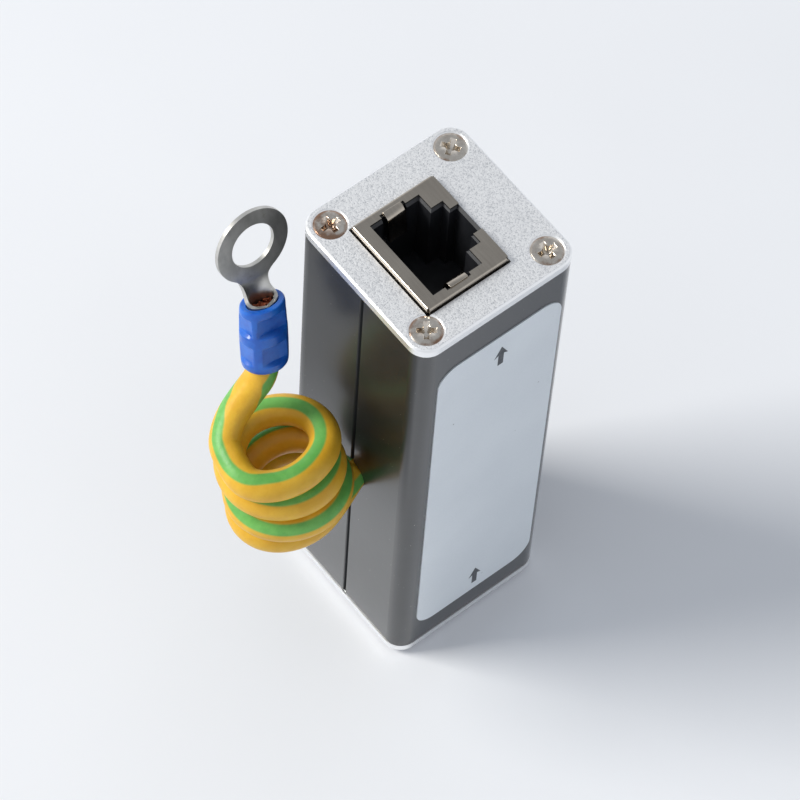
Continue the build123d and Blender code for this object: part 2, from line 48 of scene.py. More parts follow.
# The camera looks down on the standing part from its labelled corner, with a long lens and a
# slight tilt of the picture. It aims at a point just left of the housing's centre line.
aim = Vector((-3.87, 0.49, 45.0)) * MM
camera_distance = 576.05 * MM
camera_azimuth = radians(-42.33)
camera_elevation = radians(59.95)
camera_roll = radians(4.53)
camera_data = bpy.data.cameras.new("camera")
camera_data.sensor_width = 36.0
camera_data.lens = 197.6
camera_data.clip_start = 0.01
camera_data.clip_end = 20.0
camera = bpy.data.objects.new("camera", camera_data)
bpy.context.scene.collection.objects.link(camera)
back = Vector((
    sin(camera_azimuth) * cos(camera_elevation),
    -cos(camera_azimuth) * cos(camera_elevation),
    sin(camera_elevation),
))
camera.location = aim + back * camera_distance
camera.rotation_mode = "QUATERNION"
roll = Matrix.Rotation(camera_roll, 3, "Z").to_quaternion()
camera.rotation_quaternion = (-back).to_track_quat("-Z", "Y") @ roll
bpy.context.scene.camera = camera


# Room: pale paper on a table under an even sky, with one soft window on the left. The camera and
# polished metal see the paper and the horizon bright, and the sky overhead as a duller grey.
class Value:
    """A socket in a material's node tree. Sums on it add Math nodes, so a pattern reads as a formula."""

    def __init__(self, socket):
        self.socket = socket

    def node(self, kind, settings=None, inputs=None):
        """Adds any node: its settings are set first, then the values or links of its sockets."""
        node = self.socket.id_data.nodes.new(kind)
        for name, setting in (settings or {}).items():
            setattr(node, name, setting)
        for name, value in (inputs or {}).items():
            if isinstance(value, Value):
                self.socket.id_data.links.new(value.socket, node.inputs[name])
            elif isinstance(value, tuple) and node.inputs[name].type == "RGBA":
                node.inputs[name].default_value = (*value, 1)
            else:
                node.inputs[name].default_value = value
        return node

    def math(self, operation, *values):
        node = self.node("ShaderNodeMath", {"operation": operation}, dict(enumerate(values)))
        return Value(node.outputs[0])

    def __add__(self, other):
        return self.math("ADD", self, other)

    __radd__ = __add__

    def __sub__(self, other):
        return self.math("SUBTRACT", self, other)

    def __rsub__(self, other):
        return self.math("SUBTRACT", other, self)

    def __mul__(self, other):
        return self.math("MULTIPLY", self, other)

    __rmul__ = __mul__

    def __abs__(self):
        return self.math("ABSOLUTE", self)

    def most(self, other):
        return self.math("MAXIMUM", self, other)

    def reach(self, other):
        """How far a point is from the middle, where self and other are its two coordinates."""
        squares = self * self + other * other
        return self.math("SQRT", squares)

    def rise(self, low, high):
        """0 below low, 1 above high, and smooth between. With low above high it falls instead."""
        node = self.node(
            "ShaderNodeMapRange",
            {"interpolation_type": "SMOOTHSTEP"},
            {"Value": self, "From Min": low, "From Max": high},
        )
        return Value(node.outputs[0])

    def tint(self, first, second):
        """Goes from the first colour to the second as this value goes from 0 to 1."""
        node = self.node("ShaderNodeMix", {"data_type": "RGBA"}, {0: self, 6: first, 7: second})
        return Value(node.outputs[2])

    def parts(self):
        node = self.node("ShaderNodeSeparateXYZ", None, {0: self})
        return [Value(node.outputs[axis]) for axis in range(3)]

    def millimetres(self):
        return [part * (1 / MM) for part in self.parts()]

    def noise(self, scale, detail=2.0, roughness=0.5, stretch=(1, 1, 1)):
        """Noise on this vector, in features a millimetre across where scale is 1."""
        mapping = self.node("ShaderNodeMapping", None, {"Vector": self, "Scale": stretch})
        inputs = {
            "Vector": Value(mapping.outputs[0]),
            "Scale": scale / MM,
            "Detail": detail,
            "Roughness": roughness,
        }
        return Value(self.node("ShaderNodeTexNoise", None, inputs).outputs[0])

    def grains(self, scale):
        """How far each point is from the middle of its grain, in grains."""
        inputs = {"Vector": self, "Scale": scale / MM}
        return Value(self.node("ShaderNodeTexVoronoi", None, inputs).outputs[0])

    def bump(self, height):
        """A normal bumped by this value, where 1 stands for the height in millimetres."""
        inputs = {"Height": self, "Distance": height * MM}
        return Value(self.node("ShaderNodeBump", None, inputs).outputs[0])


def new_finish(name, **fixed):
    """A material with one shader. Returns it with the piece's own coordinates, in metres."""
    finish = bpy.data.materials.new(name)
    finish.use_nodes = True
    shader = finish.node_tree.nodes["Principled BSDF"]
    for socket, value in fixed.items():
        name_in_full = socket.replace("_", " ")
        is_colour = isinstance(value, tuple) and len(value) == 3
        shader.inputs[name_in_full].default_value = (*value, 1) if is_colour else value
    coordinates = finish.node_tree.nodes.new("ShaderNodeTexCoord")
    return finish, Value(coordinates.outputs["Object"])


def drive(finish, **varying):
    """Links what changes over a surface to the material's shader."""
    shader = finish.node_tree.nodes["Principled BSDF"]
    for socket, value in varying.items():
        finish.node_tree.links.new(value.socket, shader.inputs[socket.replace("_", " ")])


def dress(finish, *nodes):
    """Gives CAD nodes their material."""
    for node in nodes:
        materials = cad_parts[node].data.materials
        materials.clear()
        materials.append(finish)


def new_piece(name, mesh, finish, smooth=True, sharp=None):
    """Makes an object of the mesh. Where sharp is given, edges bent more than that stay sharp."""
    data = bpy.data.meshes.new(name)
    mesh.to_mesh(data)
    mesh.free()
    if smooth:
        data.shade_smooth()
    if sharp is not None:
        data.set_sharp_from_angle(angle=sharp)
    data.materials.append(finish)
    piece = bpy.data.objects.new(name, data)
    bpy.context.scene.collection.objects.link(piece)
    return piece


scene = bpy.context.scene
scene.view_settings.view_transform = "Standard"
paper_colour = (0.86, 0.885, 0.925)
sky_light = 0.50
window_size = 0.62
window_distance = 1.6
window_power = 22.0
window_azimuth = (-0.755, 0.655)
window_elevation = radians(40)

world = bpy.data.worlds.new("room")
scene.world = world
world.use_nodes = True
room_background = world.node_tree.nodes["Background"]
room_place = Value(world.node_tree.nodes.new("ShaderNodeTexCoord").outputs["Generated"])
room_height = room_place.parts()[2]
rays = room_place.node("ShaderNodeLightPath")
seen = Value(rays.outputs["Is Camera Ray"]).most(Value(rays.outputs["Is Transmission Ray"]))
mirrored = Value(rays.outputs["Is Glossy Ray"])
sky_seen = room_height.rise(0.15, 0.9).tint((0.94, 0.96, 1.0), (0.40, 0.42, 0.45))
sky_colour = mirrored.tint((0.93, 0.985, 1.06), sky_seen)
sky_colour = seen.tint(sky_colour, paper_colour)
world.node_tree.links.new(sky_colour.socket, room_background.inputs["Color"])
sky_strength = sky_light + (1 - sky_light) * seen.most(mirrored)
world.node_tree.links.new(sky_strength.socket, room_background.inputs["Strength"])

paper_mesh = bmesh.new()
bmesh.ops.create_grid(paper_mesh, x_segments=1, y_segments=1, size=2.5)
paper_finish, here = new_finish("paper", Roughness=0.85, Specular_IOR_Level=0.2)
pulp = here.noise(0.02, 2.0).rise(0.2, 0.8)
drive(paper_finish, Base_Color=pulp.tint((0.85, 0.861, 0.894), (0.87, 0.881, 0.914)))
paper = new_piece("paper", paper_mesh, paper_finish, smooth=False)

window_data = bpy.data.lights.new("window", "AREA")
window_data.shape = "SQUARE"
window_data.size = window_size
window_data.energy = window_power
window_data.color = (1.0, 0.98, 0.93)
window = bpy.data.objects.new("window", window_data)
scene.collection.objects.link(window)
towards_window = Vector((
    window_azimuth[0] * cos(window_elevation),
    window_azimuth[1] * cos(window_elevation),
    sin(window_elevation),
))
window.location = Vector((0, 0, 40 * MM)) + towards_window * window_distance
window.rotation_euler = (-towards_window).to_track_quat("-Z", "Y").to_euler()

# Housing: an extruded square aluminium tube, lacquered gloss black and split in two halves that
# meet in a tongue and groove along the sides. The lacquer shows the draw of the die and some dust.
housing_finish, here = new_finish(
    "black_lacquer", IOR=1.5, Specular_IOR_Level=0.18, Specular_Tint=(0.78, 0.9, 1.0),
    Coat_Roughness=0.20, Coat_IOR=1.5,
)
seam_place = -0.6
seam_half = 0.24
x, y, z = here.millimetres()
lacquered = abs(y - seam_place).rise(seam_half - 0.02, seam_half + 0.02)
draw_lines = here.noise(2.2, 3.0, 0.6, stretch=(1, 1, 0.02))
orange_peel = here.noise(0.5, 2.0)
wear = here.noise(0.09, 4.0, 0.6)
speck_field = here.grains(1.1)
speck_share = here.noise(0.25, 2.0).rise(0.50, 0.72)
specks = speck_field.rise(0.075, 0.045) * speck_share
# The photo is darker towards the top of the lead's side; the cause isn't known, and the lacquer
# is set to mirror less there to match that tone, which paints a darker reflection there
painted_dim_reflection = x.rise(-12.0, -12.35) * (z + y * 0.5).rise(22, 62)
black = wear.rise(0.35, 0.7).tint((0.006, 0.006, 0.007), (0.012, 0.012, 0.013))
drive(
    housing_finish,
    Base_Color=specks.tint(black, (0.42, 0.44, 0.36)),
    # Coat and gloss ease off high on the lead's side: a painted darker reflection, standing in for shade
    Coat_Weight=lacquered * (1 - painted_dim_reflection * 0.72),
    Roughness=0.62 - lacquered * 0.32 + wear * 0.10 + specks * 0.4 + painted_dim_reflection * 0.08,
    Normal=(draw_lines * 0.5 + orange_peel).bump(0.006),
)
dress(housing_finish, "housing_front", "housing_rear")

# End plates: aluminium sheet, blasted to an even sparkling grain and lacquered clear. The rim is
# milled at an angle after blasting and stays bright, as do the seats of the four screws.
plate_low, plate_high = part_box("top_end_plate")
plate_half = (plate_high[0] - plate_low[0]) / 2 / MM
plate_radius = 2.8
screw_place = 9.6
seat_radius = 2.25
plate_finish, here = new_finish("blasted_aluminium", Metallic=1.0)
x, y, z = here.millimetres()
over_x = (abs(x) - (plate_half - plate_radius)).most(0.0)
over_y = (abs(y) - (plate_half - plate_radius)).most(0.0)
from_rim = over_x.reach(over_y) - plate_radius
milled = from_rim.rise(-0.30, -0.20)
seat_distance = (abs(x) - screw_place).reach(abs(y) - screw_place)
seat = seat_distance.rise(seat_radius + 0.12, seat_radius)
bright = milled.most(seat)
blast = here.noise(3.0, 2.0, 0.7)
sparkle = here.grains(5.5).rise(0.10, 0.55)
smudge = here.noise(0.12, 3.0)
grained = (blast * 0.75 + sparkle * 0.25).rise(0.32, 0.66)
silver = grained.tint((0.57, 0.585, 0.61), (0.90, 0.905, 0.915))
drive(
    plate_finish,
    Base_Color=bright.tint(silver, (0.95, 0.955, 0.96)),
    Roughness=0.56 + smudge * 0.08 - bright * 0.26,
    Normal=(blast * (1 - bright)).bump(0.060),
)
dress(plate_finish, "top_end_plate", "bottom_end_plate")

# Screws: countersunk steel with a cross recess, nickel plated, their threads cut in the housing's
# channels. Head, cone and threaded shank are one turned piece, and the recess is punched in it.
head_radius = 2.12
head_edge = 0.18
head_rise = 0.02
rim_height = 0.04
crown_rings = [(2.08, -0.08), (1.98, -0.03), (1.80, 0.0), (1.60, head_rise)]
cone_depth = 1.0
cone_foot = 0.05
shank_core = 1.05
plain_neck = 0.15
plain_tip = 0.8
tip_radius = 0.35
tip_inset = 0.10
unthreaded = 1.9
thread_rise = 0.20
thread_pitch = 0.55
shank_steps = 40
rows_per_turn = 8
screw_turns = (0, 33, -4, 53)
screws_low, screws_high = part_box("top_plate_screws")
screw_reach = (screws_high[2] - screws_low[2]) / MM
recess_rings = [
    # depth, arm's half length, arm's half width, how far the corners between the arms are cut
    (0.0, 1.32, 0.40, 0.30),
    (0.05, 1.26, 0.35, 0.26),
    (0.80, 0.78, 0.24, 0.16),
    (1.05, 0.40, 0.15, 0.09),
]


def cross_outline(half_length, half_width, cut):
    """The sixteen corners of a cross whose inner corners are cut off."""
    arm = [
        (half_length, -half_width),
        (half_length, half_width),
        (half_width + cut, half_width),
        (half_width, half_width + cut),
    ]
    return [
        (x * cos(turn) - y * sin(turn), x * sin(turn) + y * cos(turn))
        for turn in (0, pi / 2, pi, 3 * pi / 2) for x, y in arm
    ]


def add_screw(mesh, place, turn, flip):
    """One screw with its head at the place, facing up where flip is 1 and down where it is -1."""
    cone_end = -head_edge - cone_depth
    thread_top = cone_end - plain_neck
    thread_rows = int((screw_reach - unthreaded) / thread_pitch * rows_per_turn)
    outline = [
        (head_radius, -head_edge),
        (head_radius, -head_edge - rim_height),
        (shank_core + cone_foot, cone_end),
    ]
    outline += [
        (shank_core, thread_top - row * thread_pitch / rows_per_turn) for row in range(thread_rows)
    ]
    outline.append((tip_radius, tip_inset - screw_reach))
    line = [mesh.verts.new((radius, 0, height)) for radius, height in outline]
    edges = [mesh.edges.new(pair) for pair in zip(line, line[1:])]
    before = set(mesh.verts) - set(line)
    bmesh.ops.spin(
        mesh, geom=line + edges, cent=(0, 0, 0), axis=(0, 0, 1),
        angle=2 * pi, steps=shank_steps, use_merge=True,
    )
    body = [vertex for vertex in mesh.verts if vertex not in before]
    for vertex in body:
        height = vertex.co.z
        if plain_tip - screw_reach < height < thread_top - 0.1:
            wound = (height / thread_pitch - atan2(vertex.co.y, vertex.co.x) / (2 * pi)) % 1
            grown = (shank_core + thread_rise * (1 - abs(2 * wound - 1))) / shank_core
            vertex.co.x *= grown
            vertex.co.y *= grown
    # The tip's hole and the head's top are closed, the head in a shallow crown round the recess
    open_edges = [edge for vertex in body for edge in vertex.link_edges if edge.is_boundary]
    open_edges = list(dict.fromkeys(open_edges))
    tip = [edge for edge in open_edges if edge.verts[0].co.z < cone_end]
    bmesh.ops.contextual_create(mesh, geom=tip)
    rim = {vertex for edge in open_edges for vertex in edge.verts if vertex.co.z > cone_end}
    rim = sorted(rim, key=lambda vertex: atan2(vertex.co.y, vertex.co.x))
    crown = [rim]
    for radius, height in crown_rings:
        grown = radius / head_radius
        crown.append([
            mesh.verts.new((grown * vertex.co.x, grown * vertex.co.y, height)) for vertex in rim
        ])
    recess = [
        [mesh.verts.new((x, y, head_rise - depth)) for x, y in cross_outline(*shape)]
        for depth, *shape in recess_rings
    ]
    for rings in (crown, recess):
        for outer, inner in zip(rings, rings[1:]):
            for index in range(len(outer)):
                mesh.faces.new((outer[index - 1], outer[index], inner[index], inner[index - 1]))
    mesh.faces.new(recess[-1])
    borders = [
        mesh.edges.get((ring[index - 1], ring[index]))
        for ring in (crown[-1], recess[0]) for index in range(len(ring))
    ]
    bmesh.ops.triangle_fill(mesh, edges=borders, use_beauty=True)
    whole = [vertex for vertex in mesh.verts if vertex not in before]
    upended = Matrix.Rotation(0 if flip > 0 else pi, 4, "X")
    matrix = Matrix.Translation(place) @ upended @ Matrix.Rotation(turn, 4, "Z")
    bmesh.ops.transform(mesh, matrix=matrix, verts=whole)


screw_finish, here = new_finish("nickel_screw", Metallic=1.0)
x, y, z = here.millimetres()
from_middle = (abs(x) - screw_place).reach(abs(y) - screw_place)
tarnish = here.noise(0.55, 4.0, 0.65)
at_rim = from_middle.rise(1.45, 2.15)
towards_corner = (x + y).rise(4.0, -6.0) * 0.12 + y.rise(-4, 6) * x.rise(4, -6) * 0.22
brown = (tarnish * 1.1 + at_rim * 0.22 + towards_corner).rise(0.68, 1.05)
nickel = tarnish.rise(0.3, 0.7).tint((0.78, 0.73, 0.66), (0.60, 0.54, 0.47))
drive(
    screw_finish,
    Base_Color=brown.tint(nickel, (0.36, 0.22, 0.15)),
    Roughness=0.16 + tarnish * 0.14,
    Normal=here.noise(1.6, 3.0).bump(0.03),
)
corners = [(-1, 1), (1, 1), (1, -1), (-1, -1)]
for end, flip in (("top", 1), ("bottom", -1)):
    low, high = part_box(f"{end}_plate_screws")
    height = high[2] if flip > 0 else low[2]
    screw_mesh = bmesh.new()
    for (x_side, y_side), turn in zip(corners, screw_turns):
        place = (x_side * screw_place, y_side * screw_place, height / MM - flip * head_rise)
        add_screw(screw_mesh, Vector(place), radians(turn), flip)
    bmesh.ops.recalc_face_normals(screw_mesh, faces=screw_mesh.faces)
    bmesh.ops.transform(screw_mesh, matrix=Matrix.Scale(MM, 4), verts=screw_mesh.verts)
    screws = new_piece(f"{end}_screws", screw_mesh, screw_finish, sharp=radians(32))
    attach(screws, "root")
    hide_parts(f"{end}_plate_screws")

# Label: a satin silver film stuck on the front half. It is printed with one small arrow at each
# end, both pointing to the upper socket, and otherwise left bare.
label_finish, here = new_finish(
    "silver_film", Specular_IOR_Level=0.55, Coat_Weight=0.35, Coat_Roughness=0.22
)
film = here.noise(0.07, 3.0)
fibre = here.noise(3.0, 2.0, 0.5)
fleck = here.grains(0.30).rise(0.055, 0.035) * here.noise(0.2, 1.0).rise(0.55, 0.65)
film_colour = (film * 0.7 + fibre * 0.3).rise(0.3, 0.7).tint((0.74, 0.79, 0.835), (0.80, 0.85, 0.89))
drive(
    label_finish,
    Base_Color=fleck.tint(film_colour, (0.30, 0.32, 0.34)),
    Metallic=0.18 + film * 0.1,
    Roughness=0.34 + film * 0.12,
    Normal=here.noise(0.8, 2.0).bump(0.006),
)
dress(label_finish, "front_label")
label_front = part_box("front_label")[0][1]
ink_rise = 0.02 * MM
ink_sink = 0.03 * MM
arrow_heads = [(0.68, 71.8, 1.05), (0.5, 12.7, 1.0)]
arrow_length = 4.1
arrow_barb = 1.05
arrow_head_length = 2.1
arrow_notch = 1.75
arrow_stem = 0.42

print_mesh = bmesh.new()
for tip_x, tip_z, size in arrow_heads:
    outline = [
        (0, 0),
        (arrow_barb, -arrow_head_length),
        (arrow_stem, -arrow_notch),
        (arrow_stem, -arrow_length),
        (-arrow_stem, -arrow_length),
        (-arrow_stem, -arrow_notch),
        (-arrow_barb, -arrow_head_length),
    ]
    points = [
        ((tip_x + size * x) * MM, label_front + ink_sink, (tip_z + size * z) * MM)
        for x, z in outline
    ]
    arrow = print_mesh.faces.new([print_mesh.verts.new(point) for point in points])
    raised = bmesh.ops.extrude_face_region(print_mesh, geom=[arrow])["geom"]
    raised = [item for item in raised if isinstance(item, bmesh.types.BMVert)]
    bmesh.ops.translate(print_mesh, vec=(0, -ink_rise - ink_sink, 0), verts=raised)
bmesh.ops.recalc_face_normals(print_mesh, faces=print_mesh.faces)
ink_finish, here = new_finish("dark_ink", Specular_IOR_Level=0.4)
ink_wear = here.noise(1.5, 4.0, 0.7)
drive(
    ink_finish,
    Base_Color=ink_wear.rise(0.35, 0.75).tint((0.055, 0.060, 0.068), (0.13, 0.14, 0.155)),
    Roughness=0.42 + ink_wear * 0.2,
)
label_arrows = new_piece("label_arrows", print_mesh, ink_finish, smooth=False)
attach(label_arrows, "root")

# Jack shields: nickel-plated sheet folded round the moulding, with the window and its two spring
# fingers stamped through. The sheet is drawn to a fine grain and its folded edges are bright.
shield_finish, here = new_finish("nickel_sheet", Metallic=1.0)
drawn = here.noise(3.0, 3.0, 0.6, stretch=(1, 0.06, 1))
cloud = here.noise(0.22, 3.0)
warm_nickel = (drawn * 0.5 + cloud * 0.5).rise(0.3, 0.7).tint((0.42, 0.375, 0.32), (0.50, 0.45, 0.385))
drive(
    shield_finish,
    Base_Color=warm_nickel,
    Roughness=0.15 + drawn * 0.06,
    Normal=drawn.bump(0.003),
)
dress(shield_finish, "top_jack_shield", "bottom_jack_shield")

# Spring fingers of the shields: cut from the sheet between two slots at each long side of the
# window and curled down into the socket. The curl's back is drawn bright.
sheet = 0.25
shield_low, shield_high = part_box("top_jack_shield")
part_height = (shield_high[2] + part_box("bottom_jack_shield")[0][2]) / MM
finger_inset = 5.65
finger_x = shield_low[0] / MM + finger_inset
finger_y = -0.3
finger_edge = 6.3
finger_half = 1.375
finger_root = 0.35
finger_overlap = 0.15
finger_curl = 0.9
finger_reach = 4.45
finger_lean = 0.16
curl_steps = 12
finger_proud = 0.012
finger_front = shield_high[2] / MM + finger_proud
curl_stop = pi / 2 - finger_lean
finger_line = [(finger_root + finger_overlap, 0.0)]
for step in range(curl_steps + 1):
    turn = curl_stop * step / curl_steps
    finger_line.append((finger_root - finger_curl * sin(turn), -finger_curl * (1 - cos(turn))))
straight = (finger_reach + finger_line[-1][1]) / cos(finger_lean)
finger_line.append((
    finger_line[-1][0] - straight * sin(finger_lean),
    finger_line[-1][1] - straight * cos(finger_lean),
))


def round_edges(piece, width):
    rounding = piece.modifiers.new("rounding", "BEVEL")
    rounding.width = width
    rounding.segments = 2
    rounding.limit_method = "ANGLE"
    rounding.angle_limit = radians(50)
    return rounding


for end, front, flip in (("top", finger_front, 1), ("bottom", part_height - finger_front, -1)):
    finger_mesh = bmesh.new()
    for side in (-1, 1):
        rows = [
            [
                finger_mesh.verts.new((
                    (finger_x + across * finger_half) * MM,
                    (finger_y + side * (finger_edge + reach)) * MM,
                    (front + flip * drop) * MM,
                ))
                for across in (-1, 1)
            ]
            for reach, drop in finger_line
        ]
        for (a, b), (c, d) in zip(rows, rows[1:]):
            finger_mesh.faces.new((a, b, d, c) if side * flip > 0 else (a, c, d, b))
    fingers = new_piece(f"{end}_spring_fingers", finger_mesh, shield_finish)
    thickness = fingers.modifiers.new("thickness", "SOLIDIFY")
    thickness.thickness = sheet * MM
    thickness.offset = -1
    round_edges(fingers, 0.05 * MM)
    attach(fingers, "root")

# Jack insulators: one black nylon moulding in each shield, with a stepped socket for the plug and
# its latch. It is satin, with flow marks near the mouth.
insulator_finish, here = new_finish("black_nylon", Specular_IOR_Level=0.5)
flow = here.noise(0.35, 3.0, 0.55, stretch=(1, 1, 0.3))
drive(
    insulator_finish,
    Base_Color=flow.rise(0.3, 0.7).tint((0.012, 0.013, 0.016), (0.024, 0.025, 0.030)),
    Roughness=0.32 + flow * 0.18,
    Normal=(flow + here.noise(3.0, 2.0) * 0.3).bump(0.02),
)
dress(insulator_finish, "top_jack_insulator", "bottom_jack_insulator")

# Jack contacts: eight spring wires of phosphor bronze in each socket, gold plated where the plug
# touches them and tinned at the pins that go through the board.
contact_finish, here = new_finish("gold_contact", Metallic=1.0)
x, y, z = here.millimetres()
board_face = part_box("circuit_board")[0][0] / MM
tinned = x.rise(board_face - 2.6, board_face - 2.0)
polish = here.noise(1.2, 3.0)
gold = polish.rise(0.3, 0.7).tint((0.88, 0.64, 0.24), (0.76, 0.52, 0.18))
drive(
    contact_finish,
    Base_Color=tinned.tint(gold, (0.72, 0.71, 0.68)),
    Roughness=0.16 + polish * 0.14,
)
dress(contact_finish, "top_jack_contacts", "bottom_jack_contacts")

# Circuit board: glass fibre with a green solder mask on both faces, bare at the sawn edges, where
# the yellowish laminate shows.
board_finish, here = new_finish("solder_mask", Coat_Weight=0.4, Coat_Roughness=0.2)
x, y, z = here.millimetres()
board_low, board_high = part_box("circuit_board")
board_middle = (board_low[0] + board_high[0]) / 2 / MM
board_skin = (board_high[0] - board_low[0]) / 2 / MM - 0.06
masked = abs(x - board_middle).rise(board_skin - 0.01, board_skin + 0.01)
warp = here.noise(1.4, 2.0, 0.5, stretch=(1, 1, 0.25))
weft = here.noise(1.4, 2.0, 0.5, stretch=(1, 0.25, 1))
weave = warp * 0.5 + weft * 0.5
mask_green = weave.rise(0.35, 0.65).tint((0.012, 0.10, 0.040), (0.022, 0.16, 0.060))
laminate = weave.rise(0.35, 0.65).tint((0.38, 0.36, 0.20), (0.52, 0.50, 0.30))
drive(
    board_finish,
    Base_Color=masked.tint(laminate, mask_green),
    Roughness=0.55 - masked * 0.25 + weave * 0.1,
    Normal=weave.bump(0.012),
)
dress(board_finish, "circuit_board")

# Gas discharge tubes: a glazed ceramic barrel between two nickel caps, with tinned leads bent
# down through the board. Two stand side by side behind each jack.
tube_finish, here = new_finish("gas_tube")
x, y, z = here.millimetres()
part_middle = part_height / 2
tube_setback = 13.0
barrel_half = 2.1
from_centre = abs(abs(z - part_middle) - tube_setback)
metal = from_centre.rise(barrel_half - 0.04, barrel_half + 0.04)
glaze = here.noise(0.5, 3.0)
ceramic = glaze.rise(0.3, 0.7).tint((0.82, 0.80, 0.76), (0.90, 0.89, 0.86))
drive(
    tube_finish,
    Base_Color=metal.tint(ceramic, (0.70, 0.68, 0.65)),
    Metallic=metal,
    Roughness=0.22 + glaze * 0.12,
    Normal=glaze.bump(0.01),
)
dress(tube_finish, "gas_tube_1", "gas_tube_2", "gas_tube_3", "gas_tube_4")

# Clamping diodes: black moulded bodies with tinned gull-wing legs, one on each side of the board's
# middle, soldered flat on it.
diode_finish, here = new_finish("diode_array")
x, y, z = here.millimetres()
diode_low, diode_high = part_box("diode_array_1")
diode_place = abs(diode_low[1] + diode_high[1]) / 2 / MM
body_half = 1.95
leg = abs(abs(y) - diode_place).rise(body_half - 0.02, body_half + 0.02)
moulding = here.noise(2.2, 2.0)
body_black = moulding.rise(0.3, 0.7).tint((0.018, 0.018, 0.019), (0.034, 0.034, 0.036))
drive(
    diode_finish,
    Base_Color=leg.tint(body_black, (0.72, 0.72, 0.70)),
    Metallic=leg,
    Roughness=0.55 - leg * 0.25 + moulding * 0.08,
    Normal=moulding.bump(0.012),
)
dress(diode_finish, "diode_array_1", "diode_array_2")

# Solder of the ground lead on the far face of the board, and the stripped copper that it holds.
# The solder wets both in a bright fillet with a slightly dimpled skin.
solder_finish, here = new_finish("solder", Metallic=1.0)
skin = here.noise(0.9, 3.0)
drive(
    solder_finish,
    Base_Color=skin.rise(0.3, 0.7).tint((0.62, 0.62, 0.61), (0.76, 0.76, 0.75)),
    Roughness=0.16 + skin * 0.16,
    Normal=skin.bump(0.03),
)
dress(solder_finish, "ground_solder")
conductor_finish, here = new_finish("bare_conductor", Metallic=1.0)
x, y, z = here.millimetres()
lay = here.noise(2.4, 2.0, 0.5, stretch=(0.12, 1, 1))
copper = lay.rise(0.35, 0.65).tint((0.62, 0.27, 0.14), (0.86, 0.44, 0.26))
drive(conductor_finish, Base_Color=copper, Roughness=0.24 + lay * 0.15, Normal=lay.bump(0.05))
dress(conductor_finish, "ground_conductor")

# Ground lead: stranded copper in a yellow jacket with two green stripes, 4.2 mm thick. It leaves
# the side of the housing, winds up in three and a bit close turns and rises into its terminal.
lead_diameter = 4.2 * MM
coil_step = radians(-26.5)
coil_first = radians(-74)
coil_last_step = 45
coil_form = [
    # turns wound, centre x, centre y, height, half width, half depth
    (0.0, -22.4, 0.9, 36.7, 7.1, 5.0),
    (0.5, -22.0, 0.8, 40.5, 6.8, 5.4),
    (1.0, -22.0, 0.3, 42.0, 6.7, 5.9),
    (1.5, -23.0, -0.2, 44.5, 7.3, 6.1),
    (2.0, -23.8, 1.0, 46.5, 7.3, 5.8),
    (2.5, -23.1, 3.4, 48.9, 5.6, 5.0),
    (3.0, -21.2, 2.6, 50.5, 5.9, 5.2),
    (3.4, -22.0, -0.8, 52.3, 9.0, 6.0),
]
exit_route = [(-12.5, -0.9, 37.1), (-14.9, -1.95, 37.1), (-17.5, -3.0, 37.0)]
tail_route = [
    (-29.25, 5.1, 52.4), (-28.2, 6.5, 53.0), (-26.3, 7.7, 54.3), (-23.4, 8.1, 56.7), (-20.5, 8.1, 59.5),
]
sleeve_mouth = Vector((-20.23, 8.58, 61.0)) * MM
terminal_axis = Vector((0.15, 0.277, 0.949)).normalized()
jacket_depth = 3.0 * MM


def coil_point(step):
    """Where the coil's control point of this step stands, in millimetres."""
    angle = coil_first + coil_step * step
    wound = -coil_step * step / (2 * pi)
    for low, high in zip(coil_form, coil_form[1:]):
        if wound <= high[0] or high is coil_form[-1]:
            share = (wound - low[0]) / (high[0] - low[0])
            x, y, z, half_width, half_depth = (a + (b - a) * share for a, b in zip(low[1:], high[1:]))
            return x + half_width * cos(angle), y + half_depth * sin(angle), z


lead_route = exit_route + [coil_point(step) for step in range(coil_last_step + 1)] + tail_route
lead_route = [Vector(point) * MM for point in lead_route]
lead_route.append(sleeve_mouth + terminal_axis * jacket_depth)
lead_curve = bpy.data.curves.new("lead_line", "CURVE")
lead_curve.dimensions = "3D"
lead_curve.resolution_u = 8
lead_spline = lead_curve.splines.new("NURBS")
lead_spline.points.add(len(lead_route) - 1)
for spline_point, place in zip(lead_spline.points, lead_route):
    spline_point.co = (*place, 1)
lead_spline.order_u = 3
lead_spline.use_endpoint_u = True
lead_line = bpy.data.objects.new("lead_line", lead_curve)
line_mesh = bpy.data.meshes.new_from_object(lead_line)
lead_path = [vertex.co.copy() for vertex in line_mesh.vertices]
bpy.data.objects.remove(lead_line)

# The jacket is drawn along that line: a ring of edges is extruded from place to place, and each
# vertex keeps which way it faces and how far along it is, for the stripes to follow.
ring_sides = 36
up = Vector((0, 0, 1))


def lead_frame(index):
    """A matrix whose z is along the lead and whose x is as near to upwards as it can be."""
    before = lead_path[max(index - 1, 0)]
    after = lead_path[min(index + 1, len(lead_path) - 1)]
    along = (after - before).normalized()
    upward = (up - along * along.dot(up)).normalized()
    side = along.cross(upward)
    matrix = Matrix((upward, side, along)).transposed().to_4x4()
    matrix.translation = lead_path[index]
    return matrix


# How far the stripe has turned from the top towards the coil's inside, in degrees, at places
# along the lead in millimetres: the wire is twisted a little where it was bent
stripe_twist = [
    (0, -65), (8, -30), (15, -6), (22, -20), (34, -32), (53.5, -46), (73, -32), (85, -8), (93, -12),
    (102, -26), (108, -12), (114, 4), (121, 20), (132, 4), (138.6, -35), (144, -28), (147, -49),
    (149.5, -78), (152, -115), (158, -125),
]


def stripe_turn(run):
    for (start, first), (end, last) in zip(stripe_twist, stripe_twist[1:]):
        if run <= end:
            share = (run - start) / (end - start)
            return radians(first + (last - first) * share * share * (3 - 2 * share))
    return radians(last)


